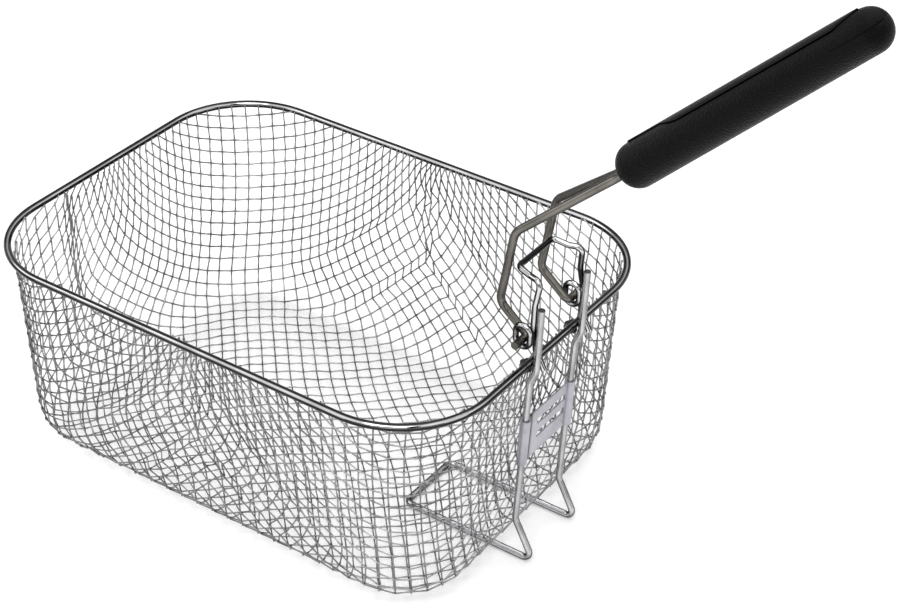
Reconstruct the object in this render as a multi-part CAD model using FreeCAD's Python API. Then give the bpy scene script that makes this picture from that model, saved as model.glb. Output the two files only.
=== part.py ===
"""Deep fryer basket with a swinging handle.

The basket is a drawn bowl of woven wire under a round-wire rim. Its handle end carries one
bent frame wire (a U under the floor, two V-shaped drain hooks and two uprights), a wire bail
with two eyes, and a slotted sheet-steel plate rolled round the uprights. The handle is a
wire fork whose two pins sit in the eyes, with a moulded grip on its legs.

Origin: the centre of the rim's plane. +X points to the handle end, +Z up. Sizes in mm.
"""
import FreeCAD, Part

import math
import os

from FreeCAD import Placement, Rotation, Vector

doc = FreeCAD.newDocument("fryer_basket")

# Driving dimensions

SIZES = [
    ("rim_half_length", 130.0, "rim centreline, half its length along X"),
    ("rim_half_width", 96.5, "rim centreline, half its width along Y"),
    ("rim_corner", 45.0, "rim centreline, radius of the corners"),
    ("rim_wire", 3.6, "diameter of the rim wire"),
    ("seat_gap", 0.05, "gap left where two welded wires touch"),
    ("floor_drop", 107.0, "underside of the woven floor below the rim centreline"),
    ("draw_in_x", 5.4, "how far the end walls lean in down to the floor"),
    ("draw_in_y", 7.0, "how far the long walls lean in down to the floor"),
    ("floor_corner", 34.0, "radius of the corners at the floor"),
    ("bowl_edge", 15.0, "radius between walls and floor"),
    ("weave_thickness", 1.2, "thickness of the woven wall without its ridges"),
    ("ridge_height", 0.35, "how far the raised wires stand out of the wall"),
    ("ridge_width", 1.1, "width of a raised wire"),
    ("weave_bar", 3.2, "width of the woven strips between two gaps"),
    ("weave_pitch", 33.5, "corner to corner pitch of the gaps"),
    ("weave_hem", 4.0, "solid strip under the rim"),
    ("weave_margin", 2.0, "solid strip beside the rounded corners and edges"),
    ("frame_wire", 3.2, "diameter of the frame wire"),
    ("upright_y", 18.5, "uprights, distance from the middle plane"),
    ("upright_rise", 29.5, "cut ends of the uprights above the rim"),
    ("upright_lean", 1.1, "outward lean of the uprights above the rim"),
    ("upright_tuck", 10.0, "below the rim, where the uprights reach the wall"),
    ("wall_stand_off", 1.15, "gap between the uprights and the wall"),
    ("hook_drop", 89.0, "start of the drain hooks below the rim"),
    ("hook_reach", 10.4, "how far the drain hooks stick out"),
    ("skid_inner", 65.2, "inner end of the U under the floor, along X"),
    ("bail_wire", 2.8, "diameter of the bail wire"),
    ("bail_y", 13.8, "half the length of the bail's crossbar"),
    ("bail_x", 118.9, "crossbar, along X"),
    ("bail_rise", 43.3, "crossbar above the rim"),
    ("bail_low_x", 126.0, "low bend of the bail's S, along X"),
    ("bail_low_y", 15.0, "low bend of the bail's S, from the middle plane"),
    ("bail_top_x", 132.4, "outer bend of the bail's S, along X"),
    ("bail_top_y", 16.8, "outer bend of the bail's S, from the middle plane"),
    ("bail_dip", 1.45, "drop from the crossbar to the S bends"),
    ("bail_leg_x", 131.0, "middle of a bail leg, along X"),
    ("bail_leg_y", 18.2, "middle of a bail leg, from the middle plane"),
    ("bail_leg_rise", 30.3, "middle of a bail leg above the rim"),
    ("bail_foot_rise", 5.4, "where the bail's ends bend outwards above the rim"),
    ("bail_tip_out", 2.2, "how far the cut ends stand off the rim"),
    ("eye_y", 20.0, "eyes, distance from the middle plane"),
    ("eye_rise", 3.5, "length of the straight sides of an eye"),
    ("tail_drop", 3.0, "cut ends of the bail below the rim centreline"),
    ("fork_wire", 3.8, "diameter of the fork wire"),
    ("fork_y", 16.3, "fork legs, distance from the middle plane"),
    ("pin_x", 126.7, "hinge pin axis, along X"),
    ("pin_rise", 12.3, "hinge pin axis above the rim"),
    ("pin_gap", 0.3, "radial gap between a pin and its eye"),
    ("pin_tip", 26.5, "end of a pin, distance from the middle plane"),
    ("knee_x", 112.0, "knee of the fork, along X"),
    ("knee_rise", 24.4, "knee above the rim"),
    ("shoulder_x", 118.2, "shoulder of the fork, along X"),
    ("shoulder_rise", 61.5, "shoulder above the rim"),
    ("handle_angle", 44.25, "slope of the grip in degrees"),
    ("grip_x", 157.0, "fork end of the grip, along X"),
    ("grip_rise", 95.3, "fork end of the grip above the rim"),
    ("tang_y", 5.0, "fork legs inside the grip, from the middle plane"),
    ("tang_length", 60.0, "length of the legs inside the grip"),
    ("tang_gap", 0.05, "gap round the fork's legs in the grip"),
    ("grip_length", 146.0, "length of the grip"),
    ("grip_front_radius", 9.9, "radius at the fork end"),
    ("grip_back_radius", 8.9, "radius at the free end"),
    ("grip_front_round", 8.0, "rounding of the fork end"),
    ("grip_back_round", 8.0, "rounding of the free end"),
    ("cover_start", 16.0, "start of the cover strip along the grip"),
    ("cover_end", 129.0, "end of the cover strip along the grip"),
    ("cover_half_width", 5.2, "half the width of the cover strip"),
    ("cover_proud", 0.8, "how far the cover strip stands out of the grip"),
    ("cover_seat", 4.6, "bottom of the cover strip above the grip's axis"),
    ("plate_metal", 0.8, "thickness of the sheet"),
    ("plate_drop", 31.0, "top of the plate below the rim centreline"),
    ("plate_height", 25.0, "height of the plate"),
    ("plate_slot", 3.4, "height of a slot"),
    ("plate_slot_top", 5.6, "top of the upper slot below the plate's top"),
    ("plate_slot_step", 7.6, "from one slot to the next"),
    ("plate_slot_start", 10.0, "from the left upright to the slots"),
    ("plate_slot_margin", 3.6, "from the slots to the right upright"),
]

sheet = doc.addObject("Spreadsheet::Sheet", "sizes")
for row, (alias, value, meaning) in enumerate(SIZES, start=1):
    sheet.set(f"A{row}", meaning)
    sheet.set(f"B{row}", str(value))
    sheet.setAlias(f"B{row}", alias)
doc.recompute()


def size(alias):
    """Read one driving dimension as a plain number."""
    return float(sheet.get(alias))


# Places that several pieces share

TOP_X = size("rim_half_length") - size("rim_wire") / 2 - size("seat_gap")
TOP_Y = size("rim_half_width") - size("rim_wire") / 2 - size("seat_gap")
TOP_CORNER = size("rim_corner") - size("rim_wire") / 2 - size("seat_gap")
FLOOR_X = TOP_X - size("draw_in_x")
FLOOR_Y = TOP_Y - size("draw_in_y")
FLOOR_Z = -size("floor_drop")
SLOPE_X = size("draw_in_x") / size("floor_drop")
SLOPE_Y = size("draw_in_y") / size("floor_drop")
FRAME_R = size("frame_wire") / 2
SKID_Z = FLOOR_Z - FRAME_R - size("ridge_height") - size("seat_gap")


def upright_x(height):
    """X of an upright's centreline where it runs down beside the wall."""
    return TOP_X + SLOPE_X * height + size("wall_stand_off") + FRAME_R


# Bent wires

def bent_edges(points, radii):
    """Edges of straight runs joined by tangent arcs: one radius for each inner point."""
    edges = []
    start = points[0]
    for corner, after, radius in zip(points[1:-1], points[2:], radii):
        towards = (start - corner).normalize()
        away = (after - corner).normalize()
        half_angle = towards.getAngle(away) / 2
        tangent = radius / math.tan(half_angle)
        bisector = (towards + away).normalize()
        centre = corner + bisector * (radius / math.sin(half_angle))
        arc_start = corner + towards * tangent
        arc_end = corner + away * tangent
        middle = centre - bisector * radius
        edges.append(Part.LineSegment(start, arc_start).toShape())
        edges.append(Part.Arc(arc_start, middle, arc_end).toShape())
        start = arc_end
    edges.append(Part.LineSegment(start, points[-1]).toShape())
    return edges


def bent_wire(name, points, radii, diameter):
    """A round wire swept along a bent path, and the volume it should have."""
    wire = Part.Wire(bent_edges(points, radii))
    path = doc.addObject("Part::Feature", f"{name}_path")
    path.Shape = wire
    section = doc.addObject("Part::Circle", f"{name}_section")
    section.Radius = diameter / 2
    first_run = points[1] - points[0]
    section.Placement = Placement(points[0], Rotation(Vector(0, 0, 1), first_run))
    sweep = doc.addObject("Part::Sweep", name)
    sweep.Sections = [section]
    sweep.Spine = (path, [f"Edge{index + 1}" for index in range(len(wire.Edges))])
    sweep.Solid = True
    sweep.Frenet = False
    sweep.Label = name
    expected[name] = math.pi * (diameter / 2) ** 2 * wire.Length
    return sweep


expected = {}


def mirrored_y(points):
    """The same points on the other side of the middle plane."""
    return [Vector(point.x, -point.y, point.z) for point in points]


# Sketches and bodies

def new_body(name):
    """An empty body whose label is the sub-part's name."""
    body = doc.addObject("PartDesign::Body", name)
    body.Label = name
    return body


def new_sketch(body, name, place):
    """A sketch of a body at its own place in the body."""
    sketch = body.newObject("Sketcher::SketchObject", name)
    sketch.Placement = place
    return sketch


def level(height):
    """A placement facing up at a height."""
    return Placement(Vector(0, 0, height), Rotation())


def rounded_rectangle(sketch, half_length, half_width, corner):
    """Closed outline: four sides and four quarter arcs, centred."""
    inner_x = half_length - corner
    inner_y = half_width - corner
    quarter = math.pi / 2
    up = Vector(0, 0, 1)
    sides = [
        (Vector(-inner_x, -half_width), Vector(inner_x, -half_width)),
        (Vector(half_length, -inner_y), Vector(half_length, inner_y)),
        (Vector(inner_x, half_width), Vector(-inner_x, half_width)),
        (Vector(-half_length, inner_y), Vector(-half_length, -inner_y)),
    ]
    centres = [
        Vector(inner_x, -inner_y),
        Vector(inner_x, inner_y),
        Vector(-inner_x, inner_y),
        Vector(-inner_x, -inner_y),
    ]
    for turn, ((start, end), centre) in enumerate(zip(sides, centres)):
        sketch.addGeometry(Part.LineSegment(start, end), False)
        first = quarter * (turn - 1)
        circle = Part.Circle(centre, up, corner)
        sketch.addGeometry(Part.ArcOfCircle(circle, first, first + quarter), False)


def polygon(sketch, corners):
    """A closed outline of straight sides."""
    for start, end in zip(corners, corners[1:] + corners[:1]):
        sketch.addGeometry(Part.LineSegment(Vector(*start), Vector(*end)), False)


def facing(origin, across, up):
    """A placement whose local X runs along across and local Y along up."""
    normal = across.cross(up)
    return Placement(origin, Rotation(across, up, normal, "XYZ"))


# Rim

def make_rim():
    """One round wire bent into a rounded rectangle and closed on itself."""
    body = new_body("rim_ring")
    spine = new_sketch(body, "rim_spine", level(0))
    rounded_rectangle(
        spine, size("rim_half_length"), size("rim_half_width"), size("rim_corner"))
    upright = facing(Vector(0, 0, 0), Vector(1, 0, 0), Vector(0, 0, 1))
    section = new_sketch(body, "rim_section", upright)
    centre = Vector(size("rim_half_length"), 0, 0)
    section.addGeometry(Part.Circle(centre, Vector(0, 0, 1), size("rim_wire") / 2), False)
    pipe = body.newObject("PartDesign::AdditivePipe", "rim_pipe")
    pipe.Profile = section
    pipe.Spine = spine
    return body


# Woven bowl

def bowl_block(name, inset):
    """The bowl as a full block, smaller by inset all round and under."""
    body = new_body(name)
    top = new_sketch(body, f"{name}_top", level(0))
    rounded_rectangle(top, TOP_X - inset, TOP_Y - inset, TOP_CORNER - inset)
    floor = new_sketch(body, f"{name}_floor", level(FLOOR_Z + inset))
    rounded_rectangle(
        floor, FLOOR_X - inset, FLOOR_Y - inset, size("floor_corner") - inset)
    block = body.newObject("PartDesign::AdditiveLoft", f"{name}_block")
    block.Profile = top
    block.Sections = [floor]
    block.Ruled = True
    doc.recompute()
    lowest = block.Shape.BoundBox.ZMin
    floor_edges = [
        f"Edge{index + 1}"
        for index, edge in enumerate(block.Shape.Edges)
        if edge.BoundBox.ZMax < lowest + 0.01
    ]
    rounding = body.newObject("PartDesign::Fillet", f"{name}_edge")
    rounding.Base = (block, floor_edges)
    rounding.Radius = size("bowl_edge") - inset
    return body


def strip(centre_u, start_v, end_v, half_width, across_first):
    """Corners of a narrow strip on the diagonal lattice, given in lattice axes."""
    corners = [
        (centre_u - half_width, start_v),
        (centre_u + half_width, start_v),
        (centre_u + half_width, end_v),
        (centre_u - half_width, end_v),
    ]
    turned = []
    for u, v in corners:
        if across_first:
            turned.append(((u + v) / math.sqrt(2), (v - u) / math.sqrt(2)))
        else:
            turned.append(((v - u) / math.sqrt(2), (u + v) / math.sqrt(2)))
    return turned


def gap_centres(half_width, low, high):
    """Centres of the gaps in a panel: a square lattice set on its corner."""
    pitch = size("weave_pitch")
    reach = (pitch - size("weave_bar") * math.sqrt(2)) / 2
    rows = int((high - low - 2 * reach) / (pitch / 2)) + 1
    first_z = (low + high) / 2 - (rows - 1) * pitch / 4
    centres = []
    for row in range(rows):
        odd = row % 2
        places = int((half_width - reach - odd * pitch / 2) / pitch)
        starts = range(-places, places + 1)
        if odd:
            starts = range(-places - 1, places + 1)
        for place in starts:
            across = place * pitch + odd * pitch / 2
            centres.append((across, first_z + row * pitch / 2))
    return centres, reach, first_z


def ridge_lines(half_width, low, high, first_z, falling):
    """Ends of the raised wires of a panel, clipped to its edges."""
    pitch = size("weave_pitch")
    sign = -1 if falling else 1
    count = int((half_width * 2 + high - low) / pitch) + 2
    ends = []
    for index in range(-count, count):
        offset = (index + 0.5) * pitch
        lowest = max(-half_width, min(sign * (low - first_z) + offset, sign * (high - first_z) + offset))
        highest = min(half_width, max(sign * (low - first_z) + offset, sign * (high - first_z) + offset))
        if highest - lowest > 10:
            ends.append((
                (lowest, first_z + sign * (lowest - offset)),
                (highest, first_z + sign * (highest - offset)),
            ))
    return ends


def ridge_outline(ends):
    """Corners of one raised wire between two ends."""
    start = Vector(ends[0][0], ends[0][1], 0)
    end = Vector(ends[1][0], ends[1][1], 0)
    run = (end - start).normalize()
    side = Vector(-run.y, run.x, 0) * (size("ridge_width") / 2)
    return [
        (start.x - side.x, start.y - side.y),
        (end.x - side.x, end.y - side.y),
        (end.x + side.x, end.y + side.y),
        (start.x + side.x, start.y + side.y),
    ]


def prism(name, place, outlines, depth, offset):
    """Straight prisms on one plane, from offset behind the plane to depth in front."""
    sketch = doc.addObject("Sketcher::SketchObject", f"{name}_outline")
    sketch.Placement = place
    for outline in outlines:
        polygon(sketch, outline)
    block = doc.addObject("Part::Extrusion", name)
    block.Base = sketch
    block.DirMode = "Normal"
    block.LengthFwd = depth
    block.LengthRev = offset
    block.Solid = True
    return block


def panels():
    """The five flat panels: name, plane, half width, lower and upper end."""
    cut = size("bowl_edge") * 0.8
    margin = size("weave_margin")
    deep_x = math.sqrt(1 + SLOPE_X ** 2)
    deep_y = math.sqrt(1 + SLOPE_Y ** 2)
    lean_x = Vector(SLOPE_X, 0, 1).normalize()
    lean_y = Vector(0, SLOPE_Y, 1).normalize()
    half_end = size("rim_half_width") - size("rim_corner") + size("rim_corner") / 5
    half_side = size("rim_half_length") - size("rim_corner") + size("rim_corner") / 5
    top = -size("rim_wire") - size("weave_hem")
    low = FLOOR_Z + cut
    far_x = Vector(-lean_x.x, 0, lean_x.z)
    far_y = Vector(0, -lean_y.y, lean_y.z)
    return [
        ("handle_end", facing(Vector(TOP_X, 0, 0), Vector(0, 1, 0), lean_x),
         half_end, low * deep_x, top),
        ("far_end", facing(Vector(-TOP_X, 0, 0), Vector(0, -1, 0), far_x),
         half_end, low * deep_x, top),
        ("right_side", facing(Vector(0, TOP_Y, 0), Vector(-1, 0, 0), lean_y),
         half_side, low * deep_y, top),
        ("left_side", facing(Vector(0, -TOP_Y, 0), Vector(1, 0, 0), far_y),
         half_side, low * deep_y, top),
        ("floor", facing(Vector(0, 0, FLOOR_Z), Vector(1, 0, 0), Vector(0, -1, 0)),
         FLOOR_X - cut - margin, cut + margin - FLOOR_Y, FLOOR_Y - cut - margin),
    ]


def corner_gaps():
    """Two gaps one above the other in each rounded corner."""
    reach = (size("weave_pitch") - size("weave_bar") * math.sqrt(2)) / 2
    low = FLOOR_Z + size("bowl_edge")
    top = -size("rim_wire") - size("weave_hem")
    middle = (low + top) / 2
    step = size("weave_pitch") / 2
    spread = TOP_CORNER / math.sqrt(2)
    blocks = []
    for side_x, side_y in ((1, 1), (-1, 1), (-1, -1), (1, -1)):
        edge = Vector(
            side_x * (TOP_X - TOP_CORNER + spread), side_y * (TOP_Y - TOP_CORNER + spread), middle)
        across = Vector(-side_y, side_x, 0).normalize() * (side_x * side_y)
        away = Vector(side_x, side_y, 0).normalize()
        if across.cross(Vector(0, 0, 1)).dot(away) < 0:
            across = across * -1
        plane = facing(edge, across, Vector(0, 0, 1))
        outlines = [
            [(-reach, z), (0, z - reach), (reach, z), (0, z + reach)]
            for z in (-step, step)
        ]
        name = f"corner_gaps_{len(blocks) + 1}"
        blocks.append(prism(name, plane, outlines, size("bowl_edge") / 3, size("bowl_edge")))
        counts.append(len(outlines))
    return blocks


def make_bowl():
    """The weave as one drawn wall with gaps, and its raised wires."""
    outer = bowl_block("bowl_outer", 0.0)
    inner = bowl_block("bowl_inner", size("weave_thickness"))
    hollow = doc.addObject("Part::Cut", "bowl_wall")
    hollow.Base = outer
    hollow.Tool = inner
    gaps = corner_gaps()
    ridges = []
    wall = size("weave_thickness")
    rise = size("ridge_height")
    for name, plane, half_width, low, high in panels():
        centres, reach, first_z = gap_centres(half_width, low, high)
        outlines = [
            [(x - reach, z), (x, z - reach), (x + reach, z), (x, z + reach)]
            for x, z in centres
        ]
        gaps.append(prism(f"{name}_gaps", plane, outlines, 5.0, 5.0))
        counts.append(len(centres))
        warp = [ridge_outline(ends) for ends in ridge_lines(half_width, low, high, first_z, False)]
        weft = [ridge_outline(ends) for ends in ridge_lines(half_width, low, high, first_z, True)]
        ridges.append(prism(f"{name}_warp", plane, warp, rise, wall * 0.6))
        ridges.append(prism(f"{name}_weft", plane, weft, -wall * 0.4, wall + rise))
    holes = doc.addObject("Part::MultiFuse", "bowl_gaps")
    holes.Shapes = gaps
    pierced = doc.addObject("Part::Cut", "bowl_pierced")
    pierced.Base = hollow
    pierced.Tool = holes
    whole = doc.addObject("Part::MultiFuse", "mesh_basket")
    whole.Shapes = [pierced] + ridges
    whole.Label = "mesh_basket"
    return whole


counts = []


# Frame wire

def make_frame():
    """Uprights, drain hooks and the U under the floor, bent from one wire."""
    beside_rim = size("rim_half_length") + size("rim_wire") / 2 + FRAME_R + size("seat_gap")
    tuck_z = -size("upright_tuck")
    hook_z = -size("hook_drop")
    hook_x = upright_x(hook_z)
    left = [
        Vector(beside_rim + size("upright_lean"), -size("upright_y"), size("upright_rise")),
        Vector(beside_rim, -size("upright_y"), -size("rim_wire") * 0.8),
        Vector(upright_x(tuck_z), -size("upright_y"), tuck_z),
        Vector(hook_x, -size("upright_y"), hook_z),
        Vector(hook_x + size("hook_reach"), -size("upright_y"), SKID_Z),
        Vector(size("skid_inner"), -size("upright_y"), SKID_Z),
    ]
    points = left + mirrored_y(left)[::-1]
    bends = [6.0, 10.0, 6.0, 3.4, 4.0]
    return bent_wire("support_frame", points, bends + bends[::-1], size("frame_wire"))


# Bail wire

def make_bail():
    """Crossbar, S-bends, legs, wound eyes and the ends that hook over the rim."""
    radius = size("bail_wire") / 2
    half_eye = size("fork_wire") / 2 + size("pin_gap") + radius
    pin_z = size("pin_rise")
    outer_run = size("pin_x") + half_eye
    side_step = FRAME_R + radius + size("seat_gap")
    rim_edge = size("rim_half_length") + size("rim_wire") / 2 + radius + size("seat_gap")
    eye_y = size("eye_y")

    def half(sign):
        tail_y = sign * size("upright_y") + side_step
        leg_y = sign * eye_y + radius * 0.9
        return [
            Vector(size("bail_x"), sign * size("bail_y"), size("bail_rise")),
            Vector(size("bail_low_x"), sign * size("bail_low_y"), size("bail_rise") - size("bail_dip")),
            Vector(size("bail_top_x"), sign * size("bail_top_y"), size("bail_rise") - size("bail_dip")),
            Vector(size("bail_leg_x"), sign * size("bail_leg_y"), size("bail_leg_rise")),
            Vector(outer_run + radius / 2, leg_y, pin_z + size("eye_rise") + half_eye),
            Vector(outer_run + radius / 3, tail_y, size("bail_foot_rise")),
            Vector(rim_edge + size("bail_tip_out"), tail_y, -size("tail_drop")),
        ]

    points = half(-1)[::-1] + half(1)
    bends = [3.0, 6.0, 3.0, 12.0, 12.0, 2.6]
    main = bent_wire("bail_main", points, bends[::-1] + bends, size("bail_wire"))
    eyes = []
    for name, sign in (("left", -1), ("right", 1)):
        spine = doc.addObject("Part::Feature", f"{name}_eye_path")
        low = Vector(size("pin_x"), sign * eye_y, pin_z)
        high = low + Vector(0, 0, size("eye_rise"))
        out = Vector(half_eye, 0, 0)
        down = Vector(0, 0, half_eye)
        edges = [
            Part.LineSegment(high + out, low + out).toShape(),
            Part.Arc(low + out, low - down, low - out).toShape(),
            Part.LineSegment(low - out, high - out).toShape(),
            Part.Arc(high - out, high + down, high + out).toShape(),
        ]
        spine.Shape = Part.Wire(edges)
        section = doc.addObject("Part::Circle", f"{name}_eye_section")
        section.Radius = radius
        section.Placement = Placement(high + out, Rotation())
        eye = doc.addObject("Part::Sweep", f"{name}_eye")
        eye.Sections = [section]
        eye.Spine = (spine, [f"Edge{index}" for index in range(1, 5)])
        eye.Solid = True
        eye.Frenet = False
        eyes.append(eye)
    whole = doc.addObject("Part::MultiFuse", "latch_bail")
    whole.Shapes = [main] + eyes
    whole.Label = "latch_bail"
    return whole


# Fork

def handle_placement():
    """Local X along the handle from the grip's fork end, local Z on its upper side."""
    return Placement(
        Vector(size("grip_x"), 0, size("grip_rise")),
        Rotation(Vector(0, 1, 0), -size("handle_angle")),
    )


def fork_points():
    """Corners of the fork wire from one pin's tip to the other's."""
    legs = size("fork_y")
    tang = size("tang_y")
    pin_z = size("pin_rise")
    place = handle_placement()
    left = [
        Vector(size("pin_x"), -size("pin_tip"), pin_z),
        Vector(size("pin_x"), -legs, pin_z),
        Vector(size("knee_x"), -legs, size("knee_rise")),
        Vector(size("shoulder_x"), -legs, size("shoulder_rise")),
        place.multVec(Vector(2.0, -tang, 0)),
        place.multVec(Vector(size("tang_length"), -tang, 0)),
    ]
    bends = [size("fork_wire") * 0.68, 6.0, 9.0, 12.0, tang * 0.98]
    return left + mirrored_y(left)[::-1], bends + bends[::-1]


def make_fork():
    """Two legs from the grip to the eyes, each ending in a pin bent outwards."""
    points, bends = fork_points()
    return bent_wire("handle_fork", points, bends, size("fork_wire"))


# Grip

def grip_spin(name, extra):
    """The grip as a turned bar, grown outwards by extra."""
    body = new_body(name)
    outline = new_sketch(body, f"{name}_outline", Placement())
    length = size("grip_length") + extra
    corners = [
        Vector(-extra, 0, 0),
        Vector(-extra, size("grip_front_radius") + extra, 0),
        Vector(length, size("grip_back_radius") + extra, 0),
        Vector(length, 0, 0),
    ]
    rounds = [size("grip_front_round") + extra, size("grip_back_round") + extra]
    for edge in bent_edges(corners, rounds):
        ends = [vertex.Point for vertex in edge.Vertexes]
        if isinstance(edge.Curve, Part.Circle):
            middle = edge.valueAt((edge.FirstParameter + edge.LastParameter) / 2)
            outline.addGeometry(Part.Arc(ends[0], middle, ends[1]), False)
        else:
            outline.addGeometry(Part.LineSegment(ends[0], ends[1]), False)
    outline.addGeometry(Part.LineSegment(corners[-1], corners[0]), False)
    spin = body.newObject("PartDesign::Revolution", f"{name}_spin")
    spin.Profile = outline
    spin.ReferenceAxis = (outline, ["H_Axis"])
    spin.Angle = 360.0
    body.Placement = handle_placement()
    return body


def cover_block(name, clearance):
    """A long strip with rounded ends that stands on the cover's seat."""
    body = new_body(name)
    outline = new_sketch(body, f"{name}_outline", level(size("cover_seat") - clearance))
    half = size("cover_half_width") + clearance
    start = size("cover_start") - clearance + half
    end = size("cover_end") + clearance - half
    up = Vector(0, 0, 1)
    outline.addGeometry(Part.LineSegment(Vector(start, -half), Vector(end, -half)), False)
    back = Part.Circle(Vector(end, 0), up, half)
    outline.addGeometry(Part.ArcOfCircle(back, -math.pi / 2, math.pi / 2), False)
    outline.addGeometry(Part.LineSegment(Vector(end, half), Vector(start, half)), False)
    front = Part.Circle(Vector(start, 0), up, half)
    outline.addGeometry(Part.ArcOfCircle(front, math.pi / 2, 3 * math.pi / 2), False)
    block = body.newObject("PartDesign::Pad", f"{name}_pad")
    block.Profile = outline
    block.Length = size("grip_front_radius") + 5.0
    body.Placement = handle_placement()
    return body


def make_grip():
    """The moulded bar with its channel and recess, and the cover strip."""
    bar = grip_spin("grip_bar", 0.0)
    points, bends = fork_points()
    lead = points[4] + (points[3] - points[4]).normalize() * 14.0
    inside = [lead] + points[4:8] + mirrored_y([lead])
    channel = bent_wire(
        "tang_channel", inside, bends[3:7], size("fork_wire") + 2 * size("tang_gap"))
    recess = cover_block("cover_recess", size("seat_gap"))
    voids = doc.addObject("Part::MultiFuse", "grip_voids")
    voids.Shapes = [channel, recess]
    body = doc.addObject("Part::Cut", "grip_body")
    body.Base = bar
    body.Tool = voids
    body.Label = "grip_body"
    grown = grip_spin("cover_bar", size("cover_proud"))
    block = cover_block("cover_block", 0.0)
    cover = doc.addObject("Part::MultiCommon", "grip_cover")
    cover.Shapes = [grown, block]
    cover.Label = "grip_cover"
    return body, cover


# Slotted plate

def make_plate():
    """A strip of sheet rolled round both uprights, with two slots."""
    body = new_body("slotted_plate")
    height = size("plate_height")
    outline = new_sketch(body, "plate_section", level(0))
    post = size("upright_y")
    bore = FRAME_R + size("seat_gap")
    roll = bore + size("plate_metal")
    half_web = size("plate_metal") / 2
    meet = math.sqrt(roll ** 2 - half_web ** 2)
    angle = math.asin(half_web / roll)
    up = Vector(0, 0, 1)
    for side, first, last in ((-1, angle, 2 * math.pi - angle),
                              (1, math.pi + angle, 3 * math.pi - angle)):
        centre = Vector(0, side * post, 0)
        turn = math.pi / 2
        circle = Part.Circle(centre, up, roll)
        outline.addGeometry(Part.ArcOfCircle(circle, first + turn, last + turn), False)
        outline.addGeometry(Part.Circle(centre, up, bore), False)
    for offset in (-half_web, half_web):
        outline.addGeometry(
            Part.LineSegment(Vector(offset, meet - post), Vector(offset, post - meet)), False)
    pad = body.newObject("PartDesign::Pad", "plate_sheet")
    pad.Profile = outline
    pad.Length = height
    face = facing(Vector(0, 0, 0), Vector(0, 1, 0), Vector(0, 0, 1))
    slots = new_sketch(body, "plate_slots", face)
    for index in range(2):
        top = height - size("plate_slot_top") - index * size("plate_slot_step")
        low = top - size("plate_slot")
        start = size("plate_slot_start") - post
        end = post - size("plate_slot_margin")
        polygon(slots, [(start, low), (end, low), (end, top), (start, top)])
    pocket = body.newObject("PartDesign::Pocket", "plate_slot_cuts")
    pocket.Profile = slots
    pocket.Type = "ThroughAll"
    pocket.Midplane = True
    base_z = -size("plate_drop") - height
    body.Placement = Placement(
        Vector(upright_x(base_z), 0, base_z),
        Rotation(Vector(0, 1, 0), math.degrees(math.atan(SLOPE_X))),
    )
    return body


rim = make_rim()
bowl = make_bowl()
frame = make_frame()
bail = make_bail()
plate = make_plate()
fork = make_fork()
grip, cover = make_grip()
doc.recompute()

pieces = [rim, bowl, frame, bail, plate, fork, grip, cover]
for item in doc.Objects:
    if "Invalid" in item.State or "Error" in item.State:
        raise RuntimeError(f"{item.Name} failed: {item.State}")
for item in pieces:
    if item.Shape.isNull() or not item.Shape.isValid() or len(item.Shape.Solids) != 1:
        raise RuntimeError(f"{item.Label}: not one valid solid")
for item in (frame, fork):
    if abs(item.Shape.Volume / expected[item.Label] - 1) > 0.001:
        raise RuntimeError(f"{item.Label}: volume is not section times length")

os.makedirs("parts", exist_ok=True)
for item in pieces:
    item.Shape.exportStep(f"parts/{item.Label}.step")
    print(item.Label, round(item.Shape.Volume), len(item.Shape.Faces))
print("gaps", sum(counts))
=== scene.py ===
"""Studio scene of the fryer basket: finishes, the woven bowl, the grip and the small joints."""

import logging
import math
from dataclasses import dataclass, field
from enum import Enum

import bmesh
import bpy
import numpy as np
from mathutils import Matrix, Vector

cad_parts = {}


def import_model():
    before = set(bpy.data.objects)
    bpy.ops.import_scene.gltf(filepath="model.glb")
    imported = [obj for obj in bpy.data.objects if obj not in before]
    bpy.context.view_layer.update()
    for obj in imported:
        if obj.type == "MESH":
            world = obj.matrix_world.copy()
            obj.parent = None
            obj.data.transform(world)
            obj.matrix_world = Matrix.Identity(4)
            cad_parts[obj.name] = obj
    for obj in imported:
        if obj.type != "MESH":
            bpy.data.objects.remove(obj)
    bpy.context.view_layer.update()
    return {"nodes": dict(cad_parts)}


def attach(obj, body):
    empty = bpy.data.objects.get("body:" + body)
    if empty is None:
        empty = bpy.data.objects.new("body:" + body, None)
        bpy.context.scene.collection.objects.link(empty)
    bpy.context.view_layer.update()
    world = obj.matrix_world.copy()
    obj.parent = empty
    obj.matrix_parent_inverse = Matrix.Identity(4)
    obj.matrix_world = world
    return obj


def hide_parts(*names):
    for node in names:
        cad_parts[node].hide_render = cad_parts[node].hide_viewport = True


log = logging.getLogger("fryer_basket")

MM = 0.001


class Coat(Enum):
    """Kinds of surface that the finishes are made of."""

    METAL = "metal"
    PLASTIC = "plastic"
    MATT = "matt"


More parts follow.
